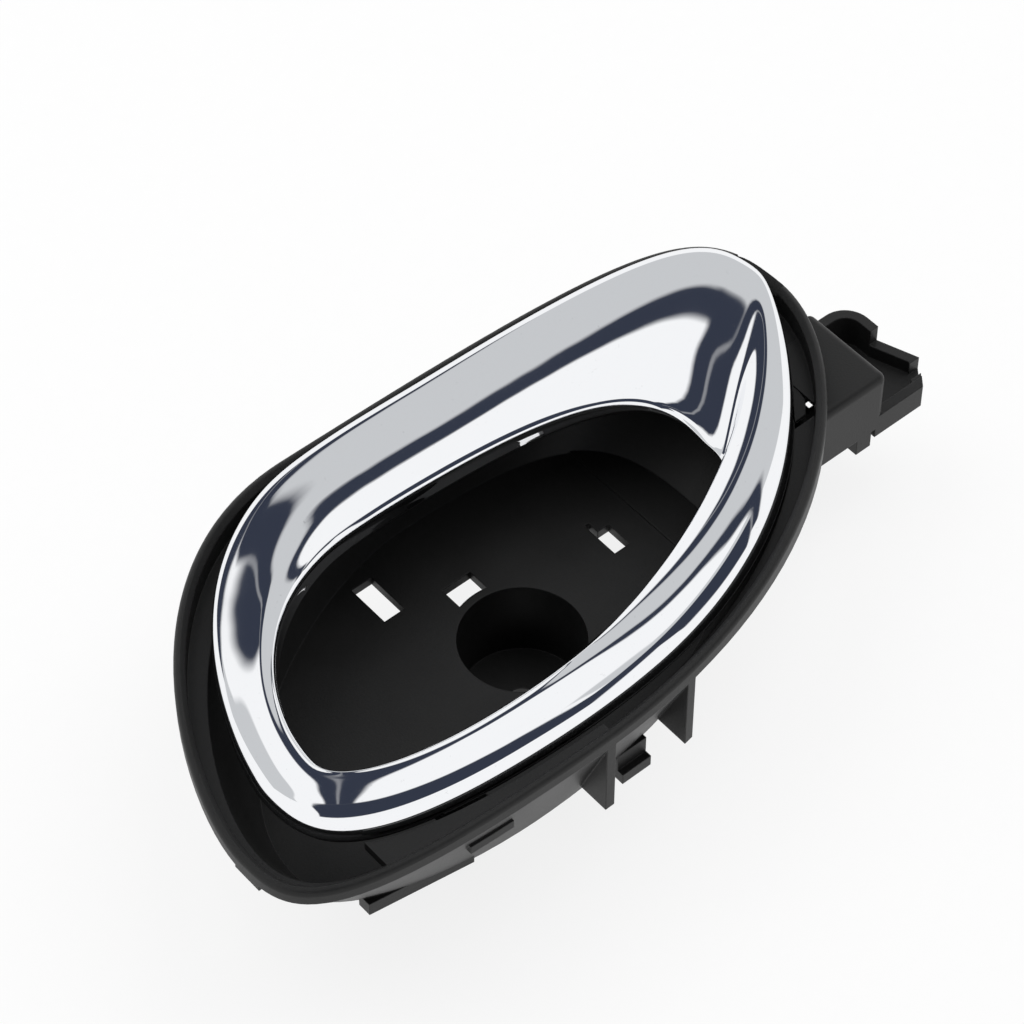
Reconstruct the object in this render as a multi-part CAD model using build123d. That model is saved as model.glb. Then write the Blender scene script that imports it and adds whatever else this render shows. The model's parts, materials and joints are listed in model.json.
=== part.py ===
from build123d import *
import os

os.makedirs("parts", exist_ok=True)

# The handle lies face up. X runs along it towards the cable tail, Y towards the wide side of the
# ring, Z out of the face. The origin is on the fixing screw's axis, where its boss meets the door.

# Heights: the floor above the door, then the rim above the floor and the ring below the rim
floor_top = 19.8
floor_thick = 2.0
bowl_depth = 22.0
ring_sink = 2.8
channel_depth = 5.2
carrier_thick = 1.8

# Rim of the housing: reach from the screw axis on each side
rim_left = 76.1
rim_near = 38.4
rim_right = 79.9
rim_far = 45.8
rim_width = 2.2
rim_skirt = 3.0
hinge_skirt = 7.0
rim_round = 1.0

# Gap in plan between the rim's outer edge and the ring
ring_gap_left = 10.2
ring_gap_near = 4.3
ring_gap_right = 3.1
ring_gap_far = 3.2

# Width of the ring in plan on each side
bar_left = 10.2
bar_near = 10.4
bar_right = 32.7
bar_far = 18.6
carrier_inset = 2.0
carrier_reveal = 1.0

# Ring section on each side: distance in from the outer edge, height above the ring's base. The
# last points run past the bar's width, down to the base, and the opening is cut through them.
section_left = [(0.9, 0.0), (0.6, 1.1), (0.7, 2.2), (1.1, 3.3), (1.9, 4.4), (3.0, 5.25),
                (4.4, 5.9), (6.0, 6.3), (7.8, 6.45), (9.6, 6.2), (11.6, 4.6), (12.9, 0.0)]
section_near = [(0.9, 0.0), (0.8, 0.9), (1.0, 1.9), (1.5, 2.9), (2.3, 4.0), (3.4, 5.0),
                (4.8, 5.8), (6.4, 6.4), (8.1, 6.8), (9.8, 6.9), (12.0, 5.4), (13.4, 0.0)]
section_right = [(2.4, 0.0), (2.1, 1.6), (1.5, 3.0), (0.3, 4.6), (0.5, 5.7), (2.4, 6.1),
                 (5.6, 5.95), (10.6, 5.3), (17.0, 4.2), (24.0, 2.6), (32.4, 0.6), (34.5, 0.0)]
section_far = [(1.6, 0.0), (1.4, 1.6), (1.1, 3.0), (0.2, 4.6), (0.7, 5.8), (4.0, 6.15),
               (9.4, 6.1), (12.6, 5.85), (15.4, 5.35), (17.4, 4.5), (19.8, 2.0), (21.0, 0.0)]

# Hollow under the ring's skin, in the same terms, and the wall left round the opening
hollow_left = [(2.8, 0.0), (3.0, 2.6), (5.2, 4.2), (8.4, 4.2), (11.6, 0.0)]
hollow_near = [(2.9, 0.0), (3.2, 2.6), (5.4, 4.3), (8.6, 4.7), (12.0, 0.0)]
hollow_right = [(4.4, 0.0), (3.7, 3.0), (6.6, 4.0), (18.0, 2.2), (25.0, 0.0)]
hollow_far = [(3.2, 0.0), (3.0, 3.0), (5.4, 4.1), (13.0, 3.6), (18.2, 0.0)]
grip_wall = 1.8

# How far the bowl's wall leans in from the rim to the floor
lean_left = 13.5
lean_near = 9.8
lean_right = 36.0
lean_far = 12.6
bowl_wall = 2.0

# Screw well in the floor
well_radius = 11.8
well_wall = 1.6
well_bottom = 1.8
screw_radius = 2.6

# Slots in the floor and the snap hooks that are cored through them: centre, then size along X and Y
slot_1 = (-13.9, 23.7, 4.6, 9.4)
slot_2 = (-0.5, 15.0, 6.6, 5.6)
slot_3 = (27.4, 6.9, 3.6, 5.8)
relief_width = 1.0
relief_length = 2.6
pad_start = 35.0
pad_rise = 0.5
hook_thick = 2.0
hook_barb = 1.6
hook_barb_height = 3.0

# Gussets and snap latch under the near rim
gusset_places = (-13.0, 6.8)
gusset_thick = 2.0
gusset_lift = 1.5
latch_x = -0.9
latch_length = 6.6
latch_reach = 3.0
latch_thick = 1.6
latch_drop = 4.0
latch_height = 2.6

# Ledge beside the ring on the near side, and the foot and lug under the wall
ledge_start = -58.0
ledge_end = -12.0
ledge_drop = 0.8
ledge_thick = 2.0
ledge_gap = 0.9
foot_start = -57.5
foot_end = -37.0
foot_slant = 3.2
foot_lift = 0.9
foot_height = 4.0
foot_width = 6.0
lug_y = -11.0
lug_length = 6.5
lug_thick = 2.6
lug_rise = 4.0

# Tail box behind the rim, which carries the hinge
tail_near = -7.6
tail_far = 12.4
tail_end = 81.6
tail_sink = 4.0
tail_height = 14.0
tail_wall = 2.2
tail_roof = 1.4
tail_round = 1.6
tail_hook_setback = 6.6
tail_hook_length = 3.6
tail_hook_drop = 3.8

# Cable seat beyond the tail
seat_near_length = 10.0
seat_step_length = 12.0
seat_tip_length = 15.0
seat_tip_y = -1.5
seat_step_y = 6.8
seat_far = 15.2
seat_corner = 5.5
seat_drop = 2.2
seat_floor = 1.6
seat_wall = 2.0
seat_end_height = 4.7
seat_near_height = 5.5
seat_far_height = 8.5
cable_slot = 1.5

# Hinge: the pin's place in the tail, then the lever's arms back from the pin
hinge_setback = 7.6
hinge_drop = 5.5
cable_drop = 7.3
pin_radius = 2.0
pin_fit = 0.02
pin_run = 0.06
knuckle_radius = 3.3
knuckle_thick = 3.0
knuckle_gap = 0.9
arm_length = 24.0
arm_bend_back = 15.5
arm_low_back = 12.0
web_back = 16.5
web_width = 3.5
web_depth = 4.6
cable_arm_width = 4.8
cable_bore = 1.6
pocket_back = 16.0
cover_back = 7.0
cover_thick = 0.8
cover_gap = 0.3

# Slope inside the rim at the hinge end, where the ring's edge dips when the lever swings out
swing_near = 18.4
swing_far = 30.0
swing_back = 3.2
swing_drop = 2.8

# Return spring
wire_radius = 0.55
coil_radius = 3.1
coil_turns = 3
coil_pitch = 1.3
spring_gap = 0.1

# Rubber rest buffers under the ring
buffer_radius = 2.6
buffer_height = 2.2
buffer_chamfer = 0.6
buffer_gap = 0.3
buffer_near_x = -38.0
buffer_far_x = -18.0
shelf_thick = 2.0
shelf_length = 9.0

# How far a cutting shape runs past the face it cuts
past = 1.0

rim_top = floor_top + bowl_depth
ring_base = rim_top - ring_sink
channel_floor = rim_top - channel_depth
latch_top = floor_top - latch_drop
tail_top = rim_top - tail_sink
tail_bottom = tail_top - tail_height
seat_bottom = tail_bottom - seat_drop
seat_end_top = seat_bottom + seat_end_height
seat_near_top = seat_bottom + seat_near_height
seat_far_top = seat_bottom + seat_far_height
seat_near_end = tail_end + seat_near_length
seat_tip = (tail_end + seat_tip_length, seat_tip_y)
seat_step = (tail_end + seat_step_length, seat_step_y)
hinge_x = tail_end - hinge_setback
hinge_z = tail_top - hinge_drop
cable_z = hinge_z - cable_drop
arm_low = hinge_x - arm_low_back
web_start = hinge_x - web_back
pocket_start = hinge_x - pocket_back

headings = [Vector(0, -1, 0), Vector(1, 0, 0), Vector(0, 1, 0), Vector(-1, 0, 0)]
inward = [Vector(1, 0, 0), Vector(0, 1, 0), Vector(-1, 0, 0), Vector(0, -1, 0)]


class Outline:
    """Closed curve through its left, near, right and far extreme points.

    reach holds the handle lengths in order round the curve: leaving left, reaching near,
    leaving near, reaching right, leaving right, reaching far, leaving far, reaching left.
    """

    def __init__(self, points, reach):
        self.points = [Vector(*p) for p in points]
        self.reach = list(reach)

    def moved(self, points):
        """The same curve drawn through other extreme points, its handles in proportion."""
        reach = []
        for i in range(4):
            j = (i + 1) % 4
            old = self.points[j] - self.points[i]
            new = points[j] - points[i]
            reach.append(self.reach[2 * i] * new.dot(headings[i]) / old.dot(headings[i]))
            reach.append(self.reach[2 * i + 1] * new.dot(headings[j]) / old.dot(headings[j]))
        return Outline(points, reach)

    def inset(self, depth):
        return self.moved([p + n * depth for p, n in zip(self.points, inward)])

    def blend(self, other, shares):
        """A curve part of the way to another, by its own share at each extreme point."""
        points = [a + (b - a) * s for a, b, s in zip(self.points, other.points, shares)]
        reach = []
        for k in range(8):
            s = shares[((k + 1) // 2) % 4]
            reach.append(self.reach[k] + (other.reach[k] - self.reach[k]) * s)
        return Outline(points, reach)

    def wire(self, heights):
        knots = [Vector(p.X, p.Y, h) for p, h in zip(self.points, heights)]
        quarters = []
        for i in range(4):
            j = (i + 1) % 4
            leave = knots[i] + headings[i] * self.reach[2 * i]
            arrive = knots[j] - headings[j] * self.reach[2 * i + 1]
            quarters.append(Edge.make_bezier(knots[i], leave, arrive, knots[j]))
        return Wire(quarters)

    def level(self, height):
        return self.wire((height,) * 4)

    def prism(self, low, high):
        return extrude(Face(self.level(low)), high - low, dir=(0, 0, 1))


rim = Outline(
    [(-rim_left, -17.3), (-15.0, -rim_near), (rim_right, 19.7), (-17.9, rim_far)],
    [12.7, 59.1, 60.0, 21.0, 21.8, 90.4, 37.0, 16.6],
)
ring_left = -rim_left + ring_gap_left
ring_near = -rim_near + ring_gap_near
ring_right = rim_right - ring_gap_right
ring_far = rim_far - ring_gap_far
ring = Outline(
    [(ring_left, -10.7), (-11.0, ring_near), (ring_right, 22.3), (-12.6, ring_far)],
    [10.1, 53.7, 71.5, 6.0, 15.6, 82.5, 37.4, 11.3],
)
grip = Outline(
    [(ring_left + bar_left, -12.4), (-18.9, ring_near + bar_near),
     (ring_right - bar_right, -2.5), (-16.4, ring_far - bar_far)],
    [6.1, 21.9, 22.3, 7.8, 12.2, 68.8, 22.8, 16.7],
)
floor = Outline(
    [(-rim_left + lean_left, -13.0), (-20.0, -rim_near + lean_near),
     (rim_right - lean_right, 4.0), (0.0, rim_far - lean_far)],
    [9.0, 24.0, 34.0, 22.0, 21.0, 38.0, 24.0, 24.0],
)
mouth = rim.inset(rim_width)
base = floor.inset(-bowl_wall)
floor_base = floor_top - floor_thick
wall_foot = -rim_near + lean_near - bowl_wall
carrier_base = ring_base - carrier_thick
shelf_top = carrier_base - buffer_gap - buffer_height
buffer_near_y = ring_near + bar_near / 2
buffer_far_y = ring_far - bar_far / 2
pin_near = tail_near + tail_wall / 4
ear_near = tail_near + tail_wall
ear_far = tail_far - tail_wall
knuckle_near = ear_near + knuckle_gap
knuckle_far = ear_far - knuckle_gap
cable_y = knuckle_near + knuckle_thick / 2
spring_start = knuckle_near + knuckle_thick + wire_radius + spring_gap
spring_finish = spring_start + coil_pitch * coil_turns
leg_rest = hinge_z + coil_radius - wire_radius - spring_gap


def block(x0, x1, y0, y1, z0, z1):
    """Box between two corners."""
    return Pos((x0 + x1) / 2, (y0 + y1) / 2, (z0 + z1) / 2) * Box(x1 - x0, y1 - y0, z1 - z0)


def rod(radius, x, z, y0, y1):
    """Cylinder along Y."""
    return Pos(x, (y0 + y1) / 2, z) * Rot(90, 0, 0) * Cylinder(radius, y1 - y0)


def side_plate(points, y0, y1):
    """Flat plate with an outline in X and Z."""
    face = Face(Wire.make_polygon([(x, y0, z) for x, z in points]))
    return extrude(face, y1 - y0, dir=(0, 1, 0))


def plan_plate(points, z0, z1):
    """Flat plate with an outline in X and Y."""
    face = Face(Wire.make_polygon([(x, y, z0) for x, y in points]))
    return extrude(face, z1 - z0, dir=(0, 0, 1))


def outer_wall():
    """Leaning outer wall of the bowl with the straight, rounded rim on top, deepest at the hinge end."""
    skirt_foot = [rim_top - depth for depth in (rim_skirt, rim_skirt, hinge_skirt, rim_skirt)]
    wall = Solid.make_loft([base.level(floor_base), rim.wire(skirt_foot), rim.level(rim_top)], True)
    crest = wall.edges().group_by(Axis.Z)[-1]
    return fillet(crest, rim_round)


def bowl_space():
    """Hollow of the bowl from the floor up through the rim, with a straight channel inside the rim."""
    hollow = Solid.make_loft([floor.level(floor_top), mouth.level(rim_top)], True)
    return hollow + mouth.prism(channel_floor, rim_top + past)


def rim_flare():
    """Bevel along the inner edge of the rim."""
    low = mouth.inset(past).level(rim_top - rim_round - past)
    return Solid.make_loft([low, mouth.inset(-rim_round - past).level(rim_top + past)], True)


def snap_hook(slot):
    """Leg beside a floor slot with its barb under the slot, standing on the door."""
    x, y, size_x, size_y = slot
    root = x - size_x / 2
    low = y - size_y / 2
    leg = block(root - hook_thick, root, low, low + size_y, 0, floor_base + floor_thick / 2)
    barb = side_plate([(root, 0), (root + hook_barb, hook_barb_height), (root, hook_barb_height)],
                      low, low + size_y)
    return leg + barb


def tail_box():
    box = block(pocket_start, tail_end, tail_near, tail_far, tail_bottom, tail_top)
    upper = box.edges().group_by(Axis.Z)[-1]
    ends = box.edges().filter_by(Axis.Z).group_by(Axis.X)[-1]
    near_top = upper.filter_by(Axis.X).group_by(Axis.Y)[0]
    return fillet(upper.group_by(Axis.X)[-1] + ends + near_top, tail_round)


def cable_seat():
    """Tray with a wall round it: high at the far corner, low at the end, slotted for the cable."""
    start = tail_end - seat_wall
    plan = [(start, tail_near), (seat_near_end, tail_near), seat_tip, seat_step,
            (seat_step[0], seat_far), (start, seat_far)]
    tray = plan_plate(plan, seat_bottom, seat_far_top)
    corner = tray.edges().filter_by(Axis.Z).group_by(Axis.Y)[-1].sort_by(Axis.X)[-1]
    tray = fillet(corner, seat_corner)
    space = offset(tray.faces().sort_by(Axis.Z)[-1], -seat_wall, kind=Kind.INTERSECTION)
    tray -= extrude(space, seat_far_top - seat_bottom - seat_floor, dir=(0, 0, -1))
    tray -= block(start, seat_tip[0] + past, tail_near + seat_wall, seat_step[1],
                  seat_end_top, seat_far_top + past)
    tray -= block(start, seat_tip[0] + past, tail_near - past, tail_near + seat_wall,
                  seat_near_top, seat_far_top + past)
    return tray - block(seat_near_end, seat_tip[0] + past, cable_y - cable_slot, cable_y + cable_slot,
                        seat_bottom + seat_floor, seat_far_top)


def housing():
    shell = outer_wall()
    beyond = seat_tip[0] + past
    for x in gusset_places:
        fin = block(x - gusset_thick / 2, x + gusset_thick / 2, -rim_near, wall_foot + 2 * bowl_wall,
                    floor_top + gusset_lift, rim_top - rim_skirt)
        shell += fin & rim.prism(floor_top, rim_top)
    latch_start = latch_x - latch_length / 2
    latch_end = latch_x + latch_length / 2
    latch_back = wall_foot + latch_thick
    shell += block(latch_start, latch_end, wall_foot, latch_back, latch_top - latch_height, floor_top)
    shell += block(latch_start, latch_end, latch_back - latch_reach, latch_back, latch_top - latch_height, latch_top)
    shell += plan_plate([(foot_start, wall_foot + foot_slant), (foot_end, wall_foot),
                         (foot_end, wall_foot + foot_width), (foot_start, wall_foot + foot_width)],
                        floor_base + foot_lift, floor_base + foot_height)
    lug_x = -rim_left + lean_left / 2
    shell += block(lug_x - lug_thick / 2, lug_x + lug_thick / 2, lug_y - lug_length / 2, lug_y + lug_length / 2,
                   floor_top + lug_rise, rim_top - 2 * rim_skirt)
    well = Pos(0, 0, floor_top / 2) * Cylinder(well_radius + well_wall, floor_top)
    shell += well
    for slot in (slot_1, slot_2, slot_3):
        shell += snap_hook(slot)
    shell += tail_box() + cable_seat()
    hook_start = tail_end - tail_hook_setback
    shell += block(hook_start, hook_start + tail_hook_length, tail_near, ear_near,
                   tail_bottom - tail_hook_drop, tail_bottom)

    shell -= bowl_space()
    shell -= rim_flare()
    swing_start = rim_right - swing_back
    shell -= side_plate([(swing_start, rim_top - swing_drop), (rim_right + past, rim_top + past),
                         (swing_start, rim_top + past)], swing_near, swing_far)
    pad = floor.prism(floor_base, floor_top + pad_rise)
    shell += pad & block(pad_start, beyond, -rim_near, rim_far, 0, rim_top)
    pocket = mouth.prism(tail_bottom, rim_top + past)
    shell -= pocket & block(pocket_start, beyond, ear_near, ear_far, 0, rim_top + past)
    shell -= block(pocket_start - tail_wall, tail_end - tail_wall, ear_near, ear_far, 0, tail_top - tail_roof)
    shell -= block(tail_end - tail_wall - past, tail_end, cable_y - cable_slot, cable_y + cable_slot,
                   seat_bottom + seat_floor, cable_z + cable_slot)

    cover_top = carrier_base - cover_gap
    shell += block(hinge_x - cover_back, tail_end - tail_wall, ear_near, ear_far,
                   cover_top - cover_thick, cover_top)

    ledge_top = rim_top - ledge_drop
    ledge = rim.prism(ledge_top - ledge_thick, ledge_top) - ring.inset(-ledge_gap).prism(0, rim_top)
    shell += ledge & block(ledge_start, ledge_end, -rim_near + rim_round, 0, 0, rim_top)
    fill = rim.inset(rim_width / 2).prism(shelf_top - shelf_thick, shelf_top)
    half = shelf_length / 2
    shell += fill & block(buffer_near_x - half, buffer_near_x + half, -rim_near, buffer_near_y + half, 0, rim_top)
    shell += fill & block(buffer_far_x - half, buffer_far_x + half, buffer_far_y - half, rim_far, 0, rim_top)

    for x, y, size_x, size_y in (slot_1, slot_2, slot_3):
        shell -= block(x - size_x / 2, x + size_x / 2, y - size_y / 2, y + size_y / 2,
                       floor_base - past / 4, floor_top + past) - well
    x, y, size_x, size_y = slot_3
    shell -= block(x - size_x / 2, x - size_x / 2 + relief_width, y, y + size_y / 2 + relief_length,
                   floor_base - past / 4, floor_top + past)
    shell -= Pos(0, 0, well_bottom + floor_top / 2) * Cylinder(well_radius, floor_top)
    shell -= Cylinder(screw_radius, 4 * well_bottom)
    shell -= rod(pin_radius + pin_fit, hinge_x, hinge_z, pin_near, tail_far + past)
    rest_start = tail_end - tail_wall - 2 * wire_radius
    return shell + block(rest_start, tail_end - tail_wall / 2, spring_finish - 2 * wire_radius,
                         spring_finish + 2 * wire_radius, tail_bottom, leg_rest)


def ring_solid(sections, ruled):
    """Solid under a loft of the four side sections, from the ring's outer edge to its inner edge."""
    widths = (bar_left, bar_near, bar_right, bar_far)
    loops = []
    for points in zip(*sections):
        shares = [inset / width for (inset, _), width in zip(points, widths)]
        loops.append(ring.blend(grip, shares).wire([ring_base + height for _, height in points]))
    foot = ring.blend(grip, [section[0][0] / width for section, width in zip(sections, widths)])
    return Solid.make_loft([foot.level(carrier_base)] + loops, ruled)


def lever_ring():
    above = rim_top + bowl_depth
    shell = ring_solid((section_left, section_near, section_right, section_far), False)
    shell -= grip.prism(0, above)
    shell -= rim.prism(0, ring_base)
    hollow = ring_solid((hollow_left, hollow_near, hollow_right, hollow_far), True)
    return shell - (hollow - grip.inset(-grip_wall).prism(0, above))


def lever_carrier():
    plate = ring.inset(carrier_inset).prism(carrier_base, ring_base)
    plate -= grip.inset(-carrier_reveal).prism(0, ring_base + past)
    low = hinge_z - knuckle_radius
    arm_points = [(hinge_x - arm_length, carrier_base), (hinge_x - arm_bend_back, carrier_base),
                  (arm_low, hinge_z + pin_radius / 4), (hinge_x, hinge_z + knuckle_radius / 2),
                  (hinge_x, low), (arm_low + knuckle_thick, low)]
    for y in (knuckle_near, knuckle_far - knuckle_thick):
        plate += side_plate(arm_points, y, y + knuckle_thick)
        plate += rod(knuckle_radius, hinge_x, hinge_z, y, y + knuckle_thick)
    plate += block(web_start, web_start + web_width, knuckle_near, knuckle_far, leg_rest - web_depth, leg_rest)
    half = cable_arm_width / 2
    plate += block(hinge_x - half, hinge_x + half, knuckle_near, knuckle_near + knuckle_thick, cable_z, hinge_z)
    plate += rod(half, hinge_x, cable_z, knuckle_near, knuckle_near + knuckle_thick)
    plate -= rod(pin_radius + pin_run, hinge_x, hinge_z, knuckle_near - past, knuckle_far + past)
    return plate - rod(cable_bore, hinge_x, cable_z, knuckle_near - past, knuckle_near + knuckle_thick + past)


def hinge_pin():
    pin = rod(pin_radius, hinge_x, hinge_z, pin_near, tail_far)
    return chamfer(pin.edges().filter_by(GeomType.CIRCLE), pin_radius / 6)


def return_spring():
    """Torsion spring round the pin, one leg on the lever's web and one on the tail's rest."""
    frame = Plane(origin=(hinge_x, spring_start, hinge_z), x_dir=(0, 0, 1), z_dir=(0, 1, 0))
    path = Helix(coil_pitch, coil_pitch * coil_turns, coil_radius).moved(frame.location)
    coil = sweep(Plane(origin=path @ 0, z_dir=path % 0) * Circle(wire_radius), path, is_frenet=True)
    top = hinge_z + coil_radius
    lever_leg = Pos((web_start + hinge_x) / 2, spring_start, top) * Rot(0, 90, 0) * Cylinder(
        wire_radius, hinge_x - web_start)
    rest_end = tail_end - tail_wall - spring_gap
    rest_leg = Pos((hinge_x + rest_end) / 2, spring_finish, top) * Rot(0, 90, 0) * Cylinder(
        wire_radius, rest_end - hinge_x)
    return coil + lever_leg + rest_leg


def rest_buffer(x, y):
    """Rubber button with a chamfered top, standing on its shelf."""
    button = Pos(x, y, shelf_top + buffer_height / 2) * Cylinder(buffer_radius, buffer_height)
    return chamfer(button.edges().group_by(Axis.Z)[-1], buffer_chamfer)


nodes = {
    "housing": housing(),
    "lever_ring": lever_ring(),
    "lever_carrier": lever_carrier(),
    "hinge_pin": hinge_pin(),
    "return_spring": return_spring(),
    "near_buffer": rest_buffer(buffer_near_x, buffer_near_y),
    "far_buffer": rest_buffer(buffer_far_x, buffer_far_y),
}
for name, solid in nodes.items():
    export_step(solid, f"parts/{name}.step")
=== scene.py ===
import json
import math

import bpy
import numpy as np
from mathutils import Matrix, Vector


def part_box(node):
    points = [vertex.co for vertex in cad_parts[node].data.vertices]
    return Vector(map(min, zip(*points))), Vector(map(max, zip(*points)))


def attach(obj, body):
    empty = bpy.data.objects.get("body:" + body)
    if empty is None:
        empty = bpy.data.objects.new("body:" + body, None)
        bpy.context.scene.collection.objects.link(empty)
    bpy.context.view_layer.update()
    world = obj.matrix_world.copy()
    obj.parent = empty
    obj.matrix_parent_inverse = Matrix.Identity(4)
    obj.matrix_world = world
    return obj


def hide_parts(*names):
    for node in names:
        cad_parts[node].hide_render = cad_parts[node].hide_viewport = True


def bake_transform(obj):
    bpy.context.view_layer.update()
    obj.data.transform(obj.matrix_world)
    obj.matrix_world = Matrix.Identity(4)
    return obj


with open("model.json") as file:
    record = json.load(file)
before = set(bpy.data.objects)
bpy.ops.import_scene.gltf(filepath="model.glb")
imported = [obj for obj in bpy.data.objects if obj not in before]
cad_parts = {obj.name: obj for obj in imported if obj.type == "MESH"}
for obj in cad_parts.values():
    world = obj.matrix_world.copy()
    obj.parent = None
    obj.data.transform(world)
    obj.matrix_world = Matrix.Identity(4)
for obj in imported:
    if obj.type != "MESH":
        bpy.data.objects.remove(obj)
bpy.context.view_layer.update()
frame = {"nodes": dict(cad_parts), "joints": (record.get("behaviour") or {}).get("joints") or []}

bl_info = {
    "name": "Car door handle",
    "version": (1, 0, 0),
    "blender": (4, 5, 0),
    "location": "3D View > Sidebar > Door handle",
    "description": "Dresses an inside door handle: plated ring lever, satin black bowl, hinge pieces and studio",
    "category": "Object",
}

MM = 0.001

# Plan of the ring in mm: left, near, right and far extreme points of its outer and inner edges, and
# the curve's handle lengths round them.
RING_EDGE = [(-65.9, -10.7), (-11.0, -34.1), (76.8, 22.3), (-12.6, 42.6)]
RING_REACH = [10.1, 53.7, 71.5, 6.0, 15.6, 82.5, 37.4, 11.3]
GRIP_EDGE = [(-55.7, -12.4), (-18.9, -23.7), (44.1, -2.5), (-16.4, 24.0)]
GRIP_REACH = [6.1, 21.9, 22.3, 7.8, 12.2, 68.8, 22.8, 16.7]
BAR_WIDTH = [10.2, 10.4, 32.7, 18.6]
RING_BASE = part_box("lever_ring")[0].z / MM
HEADINGS = [(0, -1), (1, 0), (0, 1), (-1, 0)]

# Section of the ring's skin on those four sides: distance in from the outer edge, height above its
# base. The last points round the inner edge and go down its wall.
SKIN_SECTIONS = [
    [(0.9, 0.0), (0.6, 1.1), (0.7, 2.2), (1.1, 3.3), (1.9, 4.3), (3.0, 5.1), (4.4, 5.75), (6.0, 6.2), (7.8, 6.5),
     (9.2, 6.62), (9.8, 6.5), (10.12, 6.05), (10.2, 5.4), (10.2, 2.6), (10.2, 0.0)],
    [(0.9, 0.0), (0.8, 0.9), (1.0, 1.9), (1.5, 2.9), (2.3, 4.0), (3.4, 5.0), (4.8, 5.8), (6.4, 6.4), (8.1, 6.8),
     (9.3, 6.9), (9.95, 6.75), (10.3, 6.3), (10.4, 5.6), (10.4, 3.0), (10.4, 0.0)],
    [(2.4, 0.0), (2.1, 1.6), (1.5, 3.0), (0.3, 4.6), (0.5, 5.7), (2.4, 6.1), (5.6, 5.95), (10.6, 5.3), (17.0, 4.2),
     (24.0, 2.6), (31.6, 0.76), (32.3, 0.5), (32.7, 0.3), (32.7, 0.15), (32.7, 0.0)],
    [(1.6, 0.0), (1.4, 1.6), (1.1, 3.0), (0.2, 4.6), (0.7, 5.8), (4.0, 6.15), (9.4, 6.1), (12.6, 5.85), (15.4, 5.35),
     (17.3, 4.55), (18.1, 3.9), (18.5, 3.2), (18.6, 2.4), (18.6, 1.2), (18.6, 0.0)],
]
# How far each point's height runs ahead towards the right and left sections, and where that ends
SKIN_LEAD = [0, 0.3, 0.6, 1, 1, 1, 1, 1, 0.8, 0.5, 0.4, 0.4, 0.4, 0.2, 0]
EARLY_BLEND = 0.58
CONTROL_STATIONS = 10

# Section of the hollow behind the skin, the same way
HOLLOW_SECTIONS = [
    [(2.8, 0.0), (3.0, 2.6), (5.2, 4.2), (8.4, 4.2), (8.4, 0.0)],
    [(2.9, 0.0), (3.2, 2.6), (5.4, 4.3), (8.6, 4.7), (8.6, 0.0)],
    [(4.4, 0.0), (3.7, 3.0), (6.6, 4.0), (18.0, 2.2), (25.0, 0.0)],
    [(3.2, 0.0), (3.0, 3.0), (5.4, 4.1), (13.0, 3.6), (16.8, 0.0)],
]

# Tongue and web that cover most of the gap beside the hinge, in mm: plan and the heights each fills. The CAD
# carrier leaves that gap open.
CARRIER_WEBS = [
    ([(58.0, -4.4), (63.9, -4.4), (65.3, -3.0), (66.4, -1.5), (66.8, 0.5), (66.8, 4.5), (58.0, 4.5)], 36.2, 37.0),
    ([(60.5, -1.9), (69.8, -1.9), (69.8, 6.2), (60.5, 6.2)], 29.2, 30.2),
]

# Hinge line and spring in mm
HINGE = [value / MM for value in frame["joints"][0]["pos_m"]]
SPRING_START = -0.85
SPRING_PITCH = 1.3
SPRING_TURNS = 3
COIL_RADIUS = 3.1
WIRE_RADIUS = 0.55
SPRING_LEGS = (57.5, 79.3)

# Studio directions in plan: away from the camera, and to its right
CAMERA_TURN = math.radians(-40.5)
CAMERA_TILT = math.radians(39.5)
CAMERA_PLACE = (-0.2792, -0.3241, 0.5744)
AWAY = Vector((-math.sin(CAMERA_TURN), math.cos(CAMERA_TURN), 0))
ASIDE = Vector((math.cos(CAMERA_TURN), math.sin(CAMERA_TURN), 0))
CAMERA_LENS = 137.81
CAMERA_SENSOR = 36.0
CAMERA_CLIP = (0.01, 20.0)

# Lamps in metres: to the camera's right, away from it, height, width, depth
SOFTBOXES = {
    "softbox_right": (0.47, 0.16, 0.9, 0.87, 0.64),
    "softbox_left": (-0.72, 0.16, 0.9, 1.18, 0.64),
}
FLOOR_HALF = 3.0
FLOOR_DROP = -0.0006
DOME_RADIUS = 2.2
DOME_RINGS = 13
DOME_SPOKES = 48

# Cards on the white dome in degrees: lowest and highest rise, from the far horizon over the top, then lowest
# and highest turn to the camera's right
PALE_CARDS = [(36, 57, -5, 45), (62, 100, 38, 45), (52, 105, -60, -33)]
DARK_FLAGS = [(57, 62, -5, 60), (36, 105, -12, -5), (57, 105, -5, 2), (62, 105, 45, 68), (36, 52, -45, -12),
              (104, 138, -20, 60)]
CARD_BLUR = 0.8


# Shader and geometry trees -------------------------------------------------------------------------

class Value:
    """A socket of a node tree. Arithmetic on it adds Math nodes."""

    def __init__(self, tree, socket):
        self.tree = tree
        self.socket = socket

    def math(self, operation, *others):
        links = {i: v for i, v in enumerate((self,) + others)}
        return self.tree.make("ShaderNodeMath", {"operation": operation}, links)

    def __add__(self, other):
        return self.math("ADD", other)

    def __sub__(self, other):
        return self.math("SUBTRACT", other)

    def __mul__(self, other):
        return self.math("MULTIPLY", other)

    def __truediv__(self, other):
        return self.math("DIVIDE", other)

    def __rsub__(self, other):
        return self.tree.make("ShaderNodeMath", {"operation": "SUBTRACT"}, {0: other, 1: self})

    __radd__ = __add__
    __rmul__ = __mul__


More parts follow.
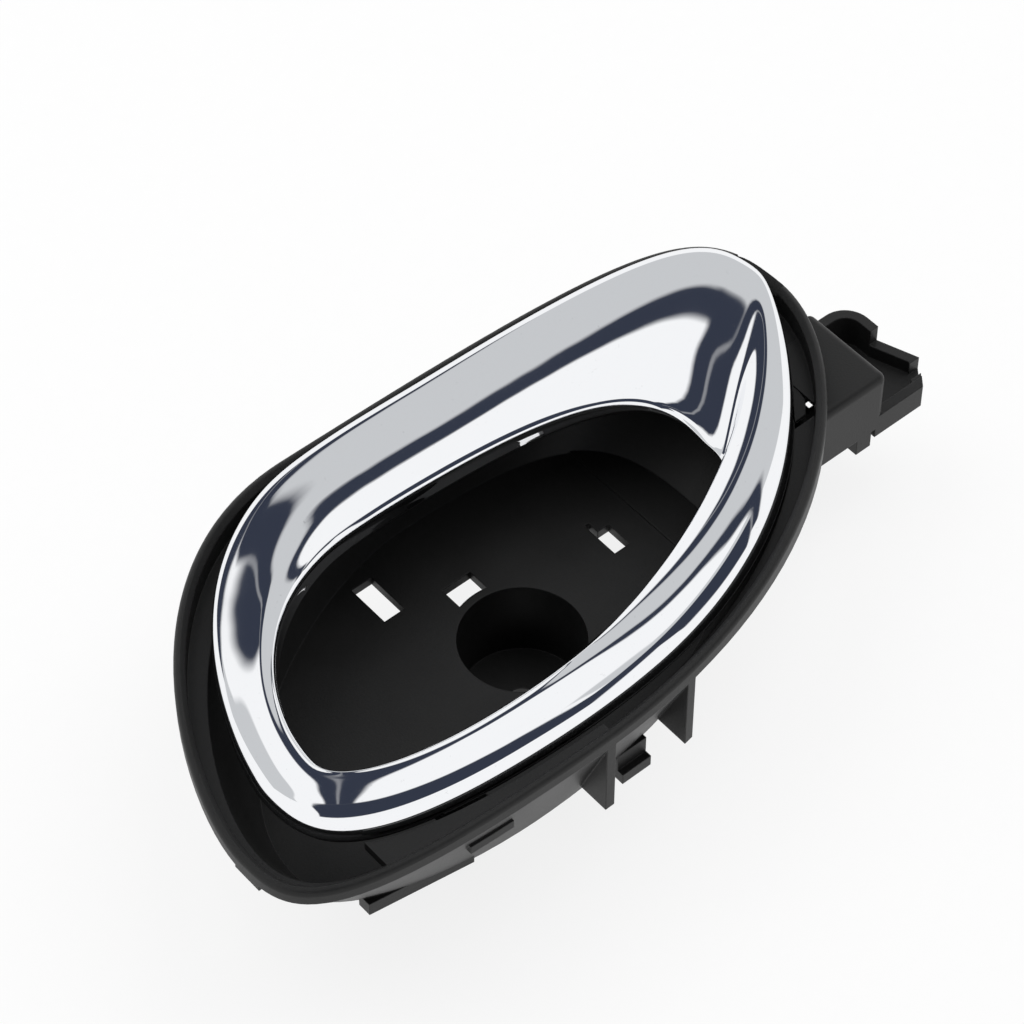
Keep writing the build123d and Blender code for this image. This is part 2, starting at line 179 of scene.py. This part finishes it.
class Tree:
    """A node tree being written. make() adds any node and returns one of its outputs."""

    def __init__(self, tree):
        self.tree = tree

    def make(self, kind, settings=None, links=None, out=0):
        node = self.tree.nodes.new(kind)
        for name, value in (settings or {}).items():
            setattr(node, name, value)
        for key, value in (links or {}).items():
            if isinstance(value, Value):
                self.tree.links.new(value.socket, node.inputs[key])
            else:
                node.inputs[key].default_value = value
        return Value(self, node.outputs[out] if len(node.outputs) else None)

    def noise(self, coords, scale, detail=2.0, roughness=0.5):
        return self.make("ShaderNodeTexNoise", None,
                         {"Vector": coords, "Scale": scale, "Detail": detail, "Roughness": roughness})

    def span(self, value, low, high, to_low=0.0, to_high=1.0):
        return self.make("ShaderNodeMapRange", None,
                         {"Value": value, "From Min": low, "From Max": high, "To Min": to_low, "To Max": to_high})

    def mix(self, share, a, b):
        return self.make("ShaderNodeMix", {"data_type": "RGBA"}, {0: share, 6: a, 7: b}, out=2)

    def bump(self, height, strength, distance, normal=None):
        links = {"Height": height, "Strength": strength, "Distance": distance}
        if normal is not None:
            links["Normal"] = normal
        return self.make("ShaderNodeBump", None, links)


def new_material(name, colour):
    """Empty material and its tree, with the colour also set for plain viewports."""
    material = bpy.data.materials.new(name)
    material.use_nodes = True
    material.node_tree.nodes.clear()
    material.diffuse_color = (*colour[:3], 1)
    return material, Tree(material.node_tree)


def close_material(tree, sockets):
    shader = tree.make("ShaderNodeBsdfPrincipled", None, sockets)
    tree.make("ShaderNodeOutputMaterial", None, {"Surface": shader})


def solid(colour, factor=1.0):
    return (colour[0] * factor, colour[1] * factor, colour[2] * factor, 1.0)


def satin_plastic(name, colour, roughness, grain, edge):
    """Black moulded plastic: fine spark grain, cloudy gloss, and edges softened by a rounded shading normal."""
    material, tree = new_material(name, colour)
    coords = tree.make("ShaderNodeTexCoord", None, None, out=3)
    fine = tree.noise(coords, 1.0 / (grain * MM), 2.0, 0.6)
    cloud = tree.noise(coords, 38.0, 3.0)
    tint = tree.span(cloud, 0.3, 0.7, 0.8, 1.25) * tree.span(fine, 0.3, 0.7, 0.9, 1.1)
    base = tree.make("ShaderNodeMix", {"data_type": "RGBA", "blend_type": "MULTIPLY"},
                     {0: 1.0, 6: solid(colour), 7: tint}, out=2)
    rough = roughness + (cloud - 0.5) * 0.16 + (fine - 0.5) * 0.12
    softened = tree.make("ShaderNodeBevel", {"samples": 6}, {"Radius": edge * MM})
    normal = tree.bump(fine, 0.22, 0.00012, softened)
    close_material(tree, {"Base Color": base, "Roughness": rough, "Normal": normal, "IOR": 1.38})
    return material


def bright_plating(name, colour, roughness):
    """Mirror plating with the faint waviness of the moulding under it and a few dull specks."""
    material, tree = new_material(name, colour)
    coords = tree.make("ShaderNodeTexCoord", None, None, out=3)
    wave = tree.noise(coords, 85.0, 1.0)
    dust = tree.noise(coords, 900.0, 3.0, 0.7)
    haze = tree.noise(coords, 30.0, 2.0)
    base = tree.mix(tree.span(dust, 0.66, 0.8), solid(colour), solid(colour, 0.86))
    rough = roughness + tree.span(haze, 0.4, 0.7) * 0.02 + tree.span(dust, 0.68, 0.8) * 0.12
    normal = tree.bump(wave, 0.05, 0.0006)
    close_material(tree, {"Base Color": base, "Roughness": rough, "Metallic": 1.0, "Normal": normal})
    return material


def ground_steel(name, colour, roughness, lines):
    """Steel with drawing lines along its length."""
    material, tree = new_material(name, colour)
    coords = tree.make("ShaderNodeTexCoord", None, None, out=3)
    stretched = tree.make("ShaderNodeMapping", None, {"Vector": coords, "Scale": (lines, lines * 0.04, lines)})
    grain = tree.noise(stretched, 1.0, 3.0)
    base = tree.mix(grain, solid(colour, 0.8), solid(colour, 1.15))
    close_material(tree, {"Base Color": base, "Roughness": roughness + grain * 0.2, "Metallic": 1.0,
                          "Normal": tree.bump(grain, 0.1, 0.00005)})
    return material


def soft_rubber(name, colour):
    """Matt black rubber with a powdery bloom."""
    material, tree = new_material(name, colour)
    coords = tree.make("ShaderNodeTexCoord", None, None, out=3)
    bloom = tree.noise(coords, 700.0, 4.0, 0.65)
    base = tree.mix(tree.span(bloom, 0.35, 0.75), solid(colour), solid(colour, 2.0))
    close_material(tree, {"Base Color": base, "Roughness": 0.72 + bloom * 0.2,
                          "Normal": tree.bump(bloom, 0.15, 0.00008)})
    return material


# Curves and meshes ---------------------------------------------------------------------------------

def ring_loop(section_points, per_quarter, lead=0.0):
    """Points round the ring at one place of its section, from that place's inset and height on the four sides.

    lead is how far the right and left sections' heights run ahead into the quarters before them.
    """
    shares = [inset / width for (inset, _), width in zip(section_points, BAR_WIDTH)]
    heights = [RING_BASE + height for _, height in section_points]
    edge, grip = np.array(RING_EDGE), np.array(GRIP_EDGE)
    knots = edge + (grip - edge) * np.array(shares)[:, None]
    reach = [a + (b - a) * shares[((k + 1) // 2) % 4] for k, (a, b) in enumerate(zip(RING_REACH, GRIP_REACH))]
    points = []
    for i in range(4):
        j = (i + 1) % 4
        handles = [knots[i], knots[i] + np.array(HEADINGS[i]) * reach[2 * i],
                   knots[j] - np.array(HEADINGS[j]) * reach[2 * i + 1], knots[j]]
        for t in np.arange(per_quarter) / per_quarter:
            weights = [(1 - t) ** 3, 3 * t * (1 - t) ** 2, 3 * t * t * (1 - t), t ** 3]
            plan = sum(w * h for w, h in zip(weights, handles))
            early = min(1.0, t / EARLY_BLEND) if i in (1, 3) else t
            turned = (1 - lead) * t * t * (3 - 2 * t) + lead * early * early * (3 - 2 * early)
            points.append((plan[0], plan[1], heights[i] + (heights[j] - heights[i]) * turned))
    return np.array(points)


def spline(points, places, asked, closed):
    """Smooth curve through points at the given places along it, read at the asked places."""
    count = len(points)
    steps = np.diff(places)
    slope = np.diff(np.concatenate([points, points[:1]]) if closed else points, axis=0) / steps[:, None]
    system = np.zeros((count, count))
    target = np.zeros_like(points)
    for i in range(count):
        if closed or 0 < i < count - 1:
            before, after = steps[i - 1], steps[i % len(steps)]
            system[i, i - 1] += before
            system[i, i] += 2 * (before + after)
            system[i, (i + 1) % count] += after
            target[i] = 6 * (slope[i % len(slope)] - slope[i - 1])
        else:
            system[i, i] = 1.0
    bend = np.linalg.solve(system, target)
    at = np.clip(np.searchsorted(places, asked, side="right") - 1, 0, len(steps) - 1)
    nxt = (at + 1) % count
    h = steps[at][:, None]
    a = ((places[at + 1] - asked)[:, None]) / h
    b = 1 - a
    return (a * points[at] + b * points[nxt]
            + ((a ** 3 - a) * bend[at] + (b ** 3 - b) * bend[nxt]) * h * h / 6)


def round_places(loops):
    """Shared places along a set of closed loops, from their mean spacing."""
    steps = np.mean([np.linalg.norm(np.roll(l, -1, axis=0) - l, axis=1) for l in loops], axis=0)
    return np.concatenate([[0.0], np.cumsum(steps)])


def mesh_object(name, points, faces, material):
    mesh = bpy.data.meshes.new(name)
    mesh.from_pydata([tuple(p) for p in points], [], faces)
    mesh.materials.append(material)
    mesh.validate()
    mesh.shade_smooth()
    obj = bpy.data.objects.new(name, mesh)
    bpy.context.scene.collection.objects.link(obj)
    return obj


def plated_ring_mesh(sizes):
    """Grid of points round the ring and across its skin and hollow, with the faces between them."""
    skin = [ring_loop(points, CONTROL_STATIONS, lead) for points, lead in zip(zip(*SKIN_SECTIONS), SKIN_LEAD)]
    hollow = [ring_loop(points, CONTROL_STATIONS) for points in zip(*HOLLOW_SECTIONS)]
    places = round_places(skin)
    asked = np.linspace(0, places[-1], sizes.ring_stations, endpoint=False)
    skin = np.array([spline(loop, places, asked, True) for loop in skin])
    hollow = np.array([spline(loop, places, asked, True) for loop in hollow])
    gaps = np.mean(np.linalg.norm(np.diff(skin, axis=0), axis=2), axis=1)
    across = np.concatenate([[0.0], np.cumsum(gaps)])
    last = len(across) - 1
    wanted = np.interp(np.linspace(0, last, last * sizes.ring_courses + 1), np.arange(last + 1), across)
    fine = np.stack([spline(skin[:, s], across, wanted, False) for s in range(skin.shape[1])], axis=1)
    rows = np.concatenate([fine, hollow[::-1]])
    rows_count, count = rows.shape[:2]
    faces = []
    for r in range(rows_count):
        for s in range(count):
            t, q = (s + 1) % count, (r + 1) % rows_count
            faces.append((r * count + s, r * count + t, q * count + t, q * count + s))
    return rows.reshape(-1, 3) * MM, faces


def nodes_modifier(obj, tree_name, build, values):
    """Adds a geometry tree written by build(tree) to an object, sets its inputs, and returns the finished mesh."""
    group = bpy.data.node_groups.new(tree_name, "GeometryNodeTree")
    for name, kind in values["inputs"]:
        group.interface.new_socket(name, in_out="INPUT", socket_type=kind)
    group.interface.new_socket("Geometry", in_out="OUTPUT", socket_type="NodeSocketGeometry")
    build(Tree(group))
    modifier = obj.modifiers.new(tree_name, "NODES")
    modifier.node_group = group
    for item in group.interface.items_tree:
        if item.in_out == "INPUT" and item.name in values["set"]:
            modifier[item.identifier] = values["set"][item.name]
    graph = bpy.context.evaluated_depsgraph_get()
    mesh = bpy.data.meshes.new_from_object(obj.evaluated_get(graph))
    obj.modifiers.remove(modifier)
    return mesh


def spring_tree(tree):
    """Coil along Y from a spiral, and the two straight legs, swept with a round wire."""
    given = tree.tree.nodes.new("NodeGroupInput")
    sizes = {s.name: Value(tree, s) for s in given.outputs if s.name}
    coil = tree.make("GeometryNodeCurveSpiral", None,
                     {"Resolution": 48, "Rotations": sizes["Turns"], "Start Radius": sizes["Coil radius"],
                      "End Radius": sizes["Coil radius"], "Height": sizes["Length"]})
    placed = tree.make("GeometryNodeTransform", None,
                       {"Geometry": coil, "Translation": sizes["Start"], "Rotation": (-math.pi / 2, -math.pi / 2, 0)})
    legs = []
    for near in ("Lever leg", "Rest leg"):
        begin = tree.make("ShaderNodeVectorMath", {"operation": "ADD"}, {0: sizes["Start"], 1: sizes[near + " root"]})
        finish = tree.make("ShaderNodeVectorMath", {"operation": "ADD"}, {0: begin, 1: sizes[near]})
        legs.append(tree.make("GeometryNodeCurvePrimitiveLine", None, {"Start": begin, "End": finish}))
    joined = tree.tree.nodes.new("GeometryNodeJoinGeometry")
    for part in legs + [placed]:
        tree.tree.links.new(part.socket, joined.inputs[0])
    wire = tree.make("GeometryNodeCurvePrimitiveCircle", None, {"Resolution": 14, "Radius": sizes["Wire radius"]})
    swept = tree.make("GeometryNodeCurveToMesh", None,
                      {"Curve": Value(tree, joined.outputs[0]), "Profile Curve": wire, "Fill Caps": True})
    smooth = tree.make("GeometryNodeSetShadeSmooth", None, {"Geometry": swept})
    real = tree.make("GeometryNodeRealizeInstances", None, {"Geometry": smooth})
    done = tree.make("GeometryNodeSetMaterial", None, {"Geometry": real, "Material": sizes["Material"]})
    tree.make("NodeGroupOutput", None, {0: done})


def button_tree(tree):
    """Rubber buttons on points: a stacked profile turned about Z and set at each point of the mesh."""
    given = tree.tree.nodes.new("NodeGroupInput")
    sizes = {s.name: Value(tree, s) for s in given.outputs if s.name}
    body = tree.make("GeometryNodeMeshCylinder", {"fill_type": "NGON"},
                     {"Vertices": 40, "Radius": sizes["Radius"], "Depth": sizes["Height"]})
    crown = tree.make("GeometryNodeMeshCone", {"fill_type": "NGON"},
                      {"Vertices": 40, "Side Segments": 3, "Radius Top": sizes["Crown radius"],
                       "Radius Bottom": sizes["Radius"], "Depth": sizes["Crown height"]})
    lift = tree.make("ShaderNodeCombineXYZ", None, {"Z": sizes["Height"] / 2})
    crown = tree.make("GeometryNodeTransform", None, {"Geometry": crown, "Translation": lift})
    joined = tree.tree.nodes.new("GeometryNodeJoinGeometry")
    for part in (body, crown):
        tree.tree.links.new(part.socket, joined.inputs[0])
    placed = tree.make("GeometryNodeInstanceOnPoints", None,
                       {"Points": sizes["Geometry"], "Instance": Value(tree, joined.outputs[0])})
    real = tree.make("GeometryNodeRealizeInstances", None, {"Geometry": placed})
    done = tree.make("GeometryNodeSetMaterial", None, {"Geometry": real, "Material": sizes["Material"]})
    tree.make("NodeGroupOutput", None, {0: done})


def dress(node, material):
    """Gives a CAD node its finish."""
    mesh = frame["nodes"][node].data
    mesh.materials.clear()
    mesh.materials.append(material)


# Settings ------------------------------------------------------------------------------------------

def size_prop(name, description, default):
    return bpy.props.FloatProperty(name=name, description=description, default=default, unit="LENGTH", precision=5)


def colour_prop(name, description, default):
    return bpy.props.FloatVectorProperty(name=name, description=description, default=default,
                                         subtype="COLOR", min=0, max=1)


def share_prop(name, description, default, high=1.0):
    return bpy.props.FloatProperty(name=name, description=description, default=default, min=0, max=high)


class HandleSizes(bpy.types.PropertyGroup):
    ring_stations: bpy.props.IntProperty(
        name="Ring stations", description="Points round the plated ring", default=320)
    ring_courses: bpy.props.IntProperty(
        name="Ring courses", description="Courses between two points of its section", default=5)
    coil_radius: size_prop("Coil radius", "Radius of the return spring's coil", COIL_RADIUS * MM)
    wire_radius: size_prop("Wire radius", "Radius of the return spring's wire", WIRE_RADIUS * MM)
    button_chamfer: size_prop("Button chamfer", "Chamfer round the top of a rest button", 0.6 * MM)
    edge_round: bpy.props.FloatProperty(name="Edge round", description="Softened moulding edges, in mm", default=0.35)


class HandleFinishes(bpy.types.PropertyGroup):
    plating: colour_prop("Plating", "Colour of the bright plating", (0.90, 0.91, 0.93))
    plating_roughness: share_prop("Plating roughness", "Roughness of the bright plating", 0.03)
    plastic: colour_prop("Plastic", "Colour of the black moulding", (0.010, 0.010, 0.010))
    plastic_roughness: share_prop("Plastic roughness", "Roughness of the black moulding", 0.46)
    grain: bpy.props.FloatProperty(name="Grain", description="Size of the moulding's grain, in mm", default=0.45)
    carrier: colour_prop("Carrier", "Colour of the plate behind the ring", (0.008, 0.008, 0.008))
    steel: colour_prop("Steel", "Colour of the hinge pin", (0.52, 0.52, 0.53))
    wire: colour_prop("Wire", "Colour of the return spring", (0.42, 0.42, 0.43))
    rubber: colour_prop("Rubber", "Colour of the rest buttons", (0.015, 0.015, 0.015))


class StudioSettings(bpy.types.PropertyGroup):
    floor_shade: share_prop("Floor shade", "Share of the floor's light that shadows can take away", 0.16)
    backdrop: colour_prop("Backdrop", "Pale wall behind the handle", (0.62, 0.63, 0.64))
    gap: colour_prop("Flags", "Dark flags that draw the plating's lines", (0.036, 0.043, 0.066))
    ambient: share_prop("Ambient", "Even light from all round", 0.32, 4.0)
    softbox: share_prop("Softbox", "Brightness of the overhead softboxes", 3.0, 20.0)


# Operators -----------------------------------------------------------------------------------------

class HANDLE_OT_plated_ring(bpy.types.Operator):
    """Builds the plated ring lever as one smooth shell and rides it on the lever"""
    bl_idname = "handle.plated_ring"
    bl_label = "Plated ring"

    def execute(self, context):
        sizes, finishes = context.scene.handle_sizes, context.scene.handle_finishes
        points, faces = plated_ring_mesh(sizes)
        ring = mesh_object("plated_ring", points, faces,
                           bright_plating("bright_plating", finishes.plating, finishes.plating_roughness))
        ring.data.set_sharp_from_angle(angle=math.radians(50))
        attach(ring, "lever")
        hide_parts("lever_ring")
        return {"FINISHED"}


class HANDLE_OT_mouldings(bpy.types.Operator):
    """Gives the bowl and the carrier behind the ring their moulded plastic finishes"""
    bl_idname = "handle.mouldings"
    bl_label = "Mouldings"

    def execute(self, context):
        sizes, finishes = context.scene.handle_sizes, context.scene.handle_finishes
        dress("housing", satin_plastic("satin_black", finishes.plastic, finishes.plastic_roughness,
                                       finishes.grain, sizes.edge_round))
        dress("lever_carrier", satin_plastic("carrier_black", finishes.carrier, finishes.plastic_roughness + 0.08,
                                             finishes.grain, sizes.edge_round))
        return {"FINISHED"}


class HANDLE_OT_carrier_webs(bpy.types.Operator):
    """Adds a tongue and web that cover most of the gap beside the hinge, which the CAD carrier leaves open"""
    bl_idname = "handle.carrier_webs"
    bl_label = "Carrier webs"

    def execute(self, context):
        points, faces = [], []
        for plan, low, high in CARRIER_WEBS:
            first, count = len(points), len(plan)
            points += [(x * MM, y * MM, z * MM) for z in (low, high) for x, y in plan]
            faces += [tuple(range(first, first + count))[::-1], tuple(range(first + count, first + 2 * count))]
            for i in range(count):
                here, after = first + i, first + (i + 1) % count
                faces.append((here, after, after + count, here + count))
        webs = mesh_object("carrier_webs", points, faces, bpy.data.materials["carrier_black"])
        webs.data.set_sharp_from_angle(angle=math.radians(40))
        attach(webs, "lever")
        return {"FINISHED"}


class HANDLE_OT_hinge_pin(bpy.types.Operator):
    """Gives the hinge pin its ground steel finish"""
    bl_idname = "handle.hinge_pin"
    bl_label = "Hinge pin"

    def execute(self, context):
        dress("hinge_pin", ground_steel("ground_steel", context.scene.handle_finishes.steel, 0.25, 9000.0))
        return {"FINISHED"}


class HANDLE_OT_return_spring(bpy.types.Operator):
    """Winds the return spring round the hinge pin"""
    bl_idname = "handle.return_spring"
    bl_label = "Return spring"

    def execute(self, context):
        sizes, finishes = context.scene.handle_sizes, context.scene.handle_finishes
        wire = ground_steel("drawn_wire", finishes.wire, 0.3, 5000.0)
        length = SPRING_PITCH * SPRING_TURNS * MM
        spring = bpy.data.objects.new("coil_spring", bpy.data.meshes.new("coil_spring"))
        context.scene.collection.objects.link(spring)
        mesh = nodes_modifier(spring, "wound_spring", spring_tree, {
            "inputs": [("Turns", "NodeSocketFloat"), ("Coil radius", "NodeSocketFloat"),
                       ("Length", "NodeSocketFloat"), ("Wire radius", "NodeSocketFloat"),
                       ("Start", "NodeSocketVector"),
                       ("Lever leg root", "NodeSocketVector"), ("Lever leg", "NodeSocketVector"),
                       ("Rest leg root", "NodeSocketVector"), ("Rest leg", "NodeSocketVector"),
                       ("Material", "NodeSocketMaterial")],
            "set": {"Turns": float(SPRING_TURNS), "Coil radius": sizes.coil_radius, "Length": length,
                    "Wire radius": sizes.wire_radius, "Start": (HINGE[0] * MM, SPRING_START * MM, HINGE[2] * MM),
                    "Lever leg root": (0, 0, sizes.coil_radius),
                    "Lever leg": ((SPRING_LEGS[0] - HINGE[0]) * MM, 0, 0),
                    "Rest leg root": (0, length, sizes.coil_radius),
                    "Rest leg": ((SPRING_LEGS[1] - HINGE[0]) * MM, 0, 0), "Material": wire},
        })
        spring.data = mesh
        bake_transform(spring)
        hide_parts("return_spring")
        return {"FINISHED"}


class HANDLE_OT_rest_buttons(bpy.types.Operator):
    """Sets the rubber rest buttons on their shelves"""
    bl_idname = "handle.rest_buttons"
    bl_label = "Rest buttons"

    def execute(self, context):
        sizes, finishes = context.scene.handle_sizes, context.scene.handle_finishes
        rubber = soft_rubber("soft_rubber", finishes.rubber)
        boxes = [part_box(node) for node in ("near_buffer", "far_buffer")]
        low, high = boxes[0]
        radius, height = (high.x - low.x) / 2, high.z - low.z
        body = height - sizes.button_chamfer
        mesh = bpy.data.meshes.new("rest_buttons")
        mesh.from_pydata([((a.x + b.x) / 2, (a.y + b.y) / 2, a.z + body / 2) for a, b in boxes], [], [])
        buttons = bpy.data.objects.new("rest_buttons", mesh)
        context.scene.collection.objects.link(buttons)
        buttons.data = nodes_modifier(buttons, "button_row", button_tree, {
            "inputs": [("Geometry", "NodeSocketGeometry"), ("Radius", "NodeSocketFloat"),
                       ("Height", "NodeSocketFloat"), ("Crown radius", "NodeSocketFloat"),
                       ("Crown height", "NodeSocketFloat"),
                       ("Material", "NodeSocketMaterial")],
            "set": {"Radius": radius, "Height": body, "Crown radius": radius - sizes.button_chamfer,
                    "Crown height": sizes.button_chamfer, "Material": rubber},
        })
        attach(buttons, "frame")
        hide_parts("near_buffer", "far_buffer")
        return {"FINISHED"}


def softbox(name, aside, away, height, width, depth, radiance):
    """Rectangular lamp hung level over the handle, placed from the camera's side of it."""
    lamp = bpy.data.lights.new(name, "AREA")
    lamp.shape = "RECTANGLE"
    lamp.size, lamp.size_y = width, depth
    lamp.energy = radiance * math.pi * width * depth
    obj = bpy.data.objects.new(name, lamp)
    obj.location = ASIDE * aside + AWAY * away + Vector((0, 0, height))
    obj.rotation_euler = (0, 0, CAMERA_TURN)
    obj.visible_camera = obj.visible_glossy = False
    bpy.context.scene.collection.objects.link(obj)


def studio_world(settings):
    """White to the camera and to bright surfaces, and an even grey light on matt ones."""
    world = bpy.data.worlds.new("studio_room")
    bpy.context.scene.world = world
    world.use_nodes = True
    world.node_tree.nodes.clear()
    tree = Tree(world.node_tree)
    path = tree.tree.nodes.new("ShaderNodeLightPath")
    direct = [Value(tree, path.outputs[n]) for n in ("Is Camera Ray", "Is Glossy Ray", "Is Transmission Ray")]
    white = (direct[0] + direct[1] + direct[2]).math("MINIMUM", 1.0)
    strength = settings.ambient + white * (1 - settings.ambient)
    light = tree.make("ShaderNodeBackground", None, {"Color": (1, 1, 1, 1), "Strength": strength})
    tree.make("ShaderNodeOutputWorld", None, {"Surface": light})


def studio_cards(settings):
    """White dome round the handle with a few pale cards and dark flags on it, which only glossy surfaces see."""
    material, tree = new_material("studio_cards", (1, 1, 1))
    place = tree.make("ShaderNodeTexCoord", None, None, out=3)
    direction = tree.make("ShaderNodeVectorMath", {"operation": "NORMALIZE"}, {0: place})
    height = tree.make("ShaderNodeSeparateXYZ", None, {0: direction}, out=2)
    ahead, aside = [tree.make("ShaderNodeVectorMath", {"operation": "DOT_PRODUCT"}, {0: direction, 1: way}, out=1)
                    for way in (AWAY, ASIDE)]
    rise = height.math("ARCTAN2", ahead) * math.degrees(1)
    turn = aside.math("ARCSINE") * math.degrees(1)

    def card(rise_low, rise_high, turn_low, turn_high):
        edges = [tree.span(value, low - CARD_BLUR, low + CARD_BLUR)
                 * tree.span(value, high + CARD_BLUR, high - CARD_BLUR)
                 for value, low, high in ((rise, rise_low, rise_high), (turn, turn_low, turn_high))]
        return edges[0] * edges[1]

    shade = solid((1, 1, 1))
    for colour, cards in ((settings.backdrop, PALE_CARDS), (settings.gap, DARK_FLAGS)):
        for extent in cards:
            shade = tree.mix(card(*extent), shade, solid(colour))
    glow = tree.make("ShaderNodeEmission", None, {"Color": shade})
    tree.make("ShaderNodeOutputMaterial", None, {"Surface": glow})
    points, faces = [], []
    for ring in range(DOME_RINGS):
        up = math.pi / 2 * ring / DOME_RINGS
        first = DOME_SPOKES * ring
        for spoke in range(DOME_SPOKES):
            around = 2 * math.pi * spoke / DOME_SPOKES
            points.append((math.cos(up) * math.cos(around) * DOME_RADIUS,
                           math.cos(up) * math.sin(around) * DOME_RADIUS, math.sin(up) * DOME_RADIUS))
            after = (spoke + 1) % DOME_SPOKES
            if ring:
                faces.append((first + spoke, first + after, first + after - DOME_SPOKES, first + spoke - DOME_SPOKES))
    points.append((0, 0, DOME_RADIUS))
    top, last = len(points) - 1, DOME_SPOKES * (DOME_RINGS - 1)
    faces += [(top, last + (spoke + 1) % DOME_SPOKES, last + spoke) for spoke in range(DOME_SPOKES)]
    dome = mesh_object("studio_cards", points, faces, material)
    dome.visible_camera = dome.visible_diffuse = dome.visible_shadow = False


def pale_floor(settings):
    """White floor that shadows can only tint where the camera or a bright surface looks at it."""
    material, tree = new_material("pale_floor", (0.9, 0.9, 0.9))
    coords = tree.make("ShaderNodeTexCoord", None, None, out=3)
    speck = tree.noise(coords, 300.0, 2.0)
    white = tree.mix(speck, (0.86, 0.86, 0.86, 1), (0.92, 0.92, 0.92, 1))
    paper = tree.make("ShaderNodeBsdfDiffuse", None, {"Color": white})
    glow = tree.make("ShaderNodeEmission", None, {"Color": (1, 1, 1, 1)})
    path = tree.tree.nodes.new("ShaderNodeLightPath")
    direct = [Value(tree, path.outputs[n]) for n in ("Is Camera Ray", "Is Glossy Ray", "Is Transmission Ray")]
    share = (direct[0] + direct[1] + direct[2]).math("MINIMUM", 1.0) * (1 - settings.floor_shade)
    mixed = tree.make("ShaderNodeMixShader", None, {0: share, 1: paper, 2: glow})
    tree.make("ShaderNodeOutputMaterial", None, {"Surface": mixed})
    corners = [(-1, -1), (1, -1), (1, 1), (-1, 1)]
    floor = mesh_object("floor", [(x * FLOOR_HALF, y * FLOOR_HALF, FLOOR_DROP) for x, y in corners],
                        [(0, 1, 2, 3)], material)


class HANDLE_OT_studio(bpy.types.Operator):
    """Sets up the floor, the room, its cards, the softboxes and the camera"""
    bl_idname = "handle.studio"
    bl_label = "Studio"

    def execute(self, context):
        settings = context.scene.handle_studio
        pale_floor(settings)
        studio_world(settings)
        studio_cards(settings)
        for name, place in SOFTBOXES.items():
            softbox(name, *place, settings.softbox)
        camera = bpy.data.cameras.new("camera")
        camera.lens, camera.sensor_width = CAMERA_LENS, CAMERA_SENSOR
        camera.clip_start, camera.clip_end = CAMERA_CLIP
        obj = bpy.data.objects.new("camera", camera)
        obj.location = CAMERA_PLACE
        obj.rotation_euler = (CAMERA_TILT, 0, CAMERA_TURN)
        context.scene.collection.objects.link(obj)
        context.scene.camera = obj
        context.scene.view_settings.view_transform = "Standard"
        return {"FINISHED"}


class HANDLE_PT_sidebar(bpy.types.Panel):
    """Lists the handle's settings and the steps that dress it"""
    bl_idname = "HANDLE_PT_sidebar"
    bl_label = "Door handle"
    bl_space_type = "VIEW_3D"
    bl_region_type = "UI"
    bl_category = "Door handle"

    def draw(self, context):
        for group in ("handle_sizes", "handle_finishes", "handle_studio"):
            settings = getattr(context.scene, group)
            column = self.layout.column()
            for name in settings.__annotations__:
                column.prop(settings, name)
        for operator in OPERATORS:
            self.layout.operator(operator.bl_idname)


OPERATORS = [HANDLE_OT_plated_ring, HANDLE_OT_mouldings, HANDLE_OT_carrier_webs, HANDLE_OT_hinge_pin,
             HANDLE_OT_return_spring, HANDLE_OT_rest_buttons, HANDLE_OT_studio]
GROUPS = {"handle_sizes": HandleSizes, "handle_finishes": HandleFinishes, "handle_studio": StudioSettings}


def register():
    for group in GROUPS.values():
        bpy.utils.register_class(group)
    for name, group in GROUPS.items():
        setattr(bpy.types.Scene, name, bpy.props.PointerProperty(type=group))
    for entry in OPERATORS + [HANDLE_PT_sidebar]:
        bpy.utils.register_class(entry)


def unregister():
    for entry in [HANDLE_PT_sidebar] + OPERATORS[::-1]:
        bpy.utils.unregister_class(entry)
    for name, group in GROUPS.items():
        delattr(bpy.types.Scene, name)
        bpy.utils.unregister_class(group)


def main():
    register()
    bpy.ops.handle.plated_ring()
    bpy.ops.handle.mouldings()
    bpy.ops.handle.carrier_webs()
    bpy.ops.handle.hinge_pin()
    bpy.ops.handle.return_spring()
    bpy.ops.handle.rest_buttons()
    bpy.ops.handle.studio()


if __name__ == "__main__":
    main()
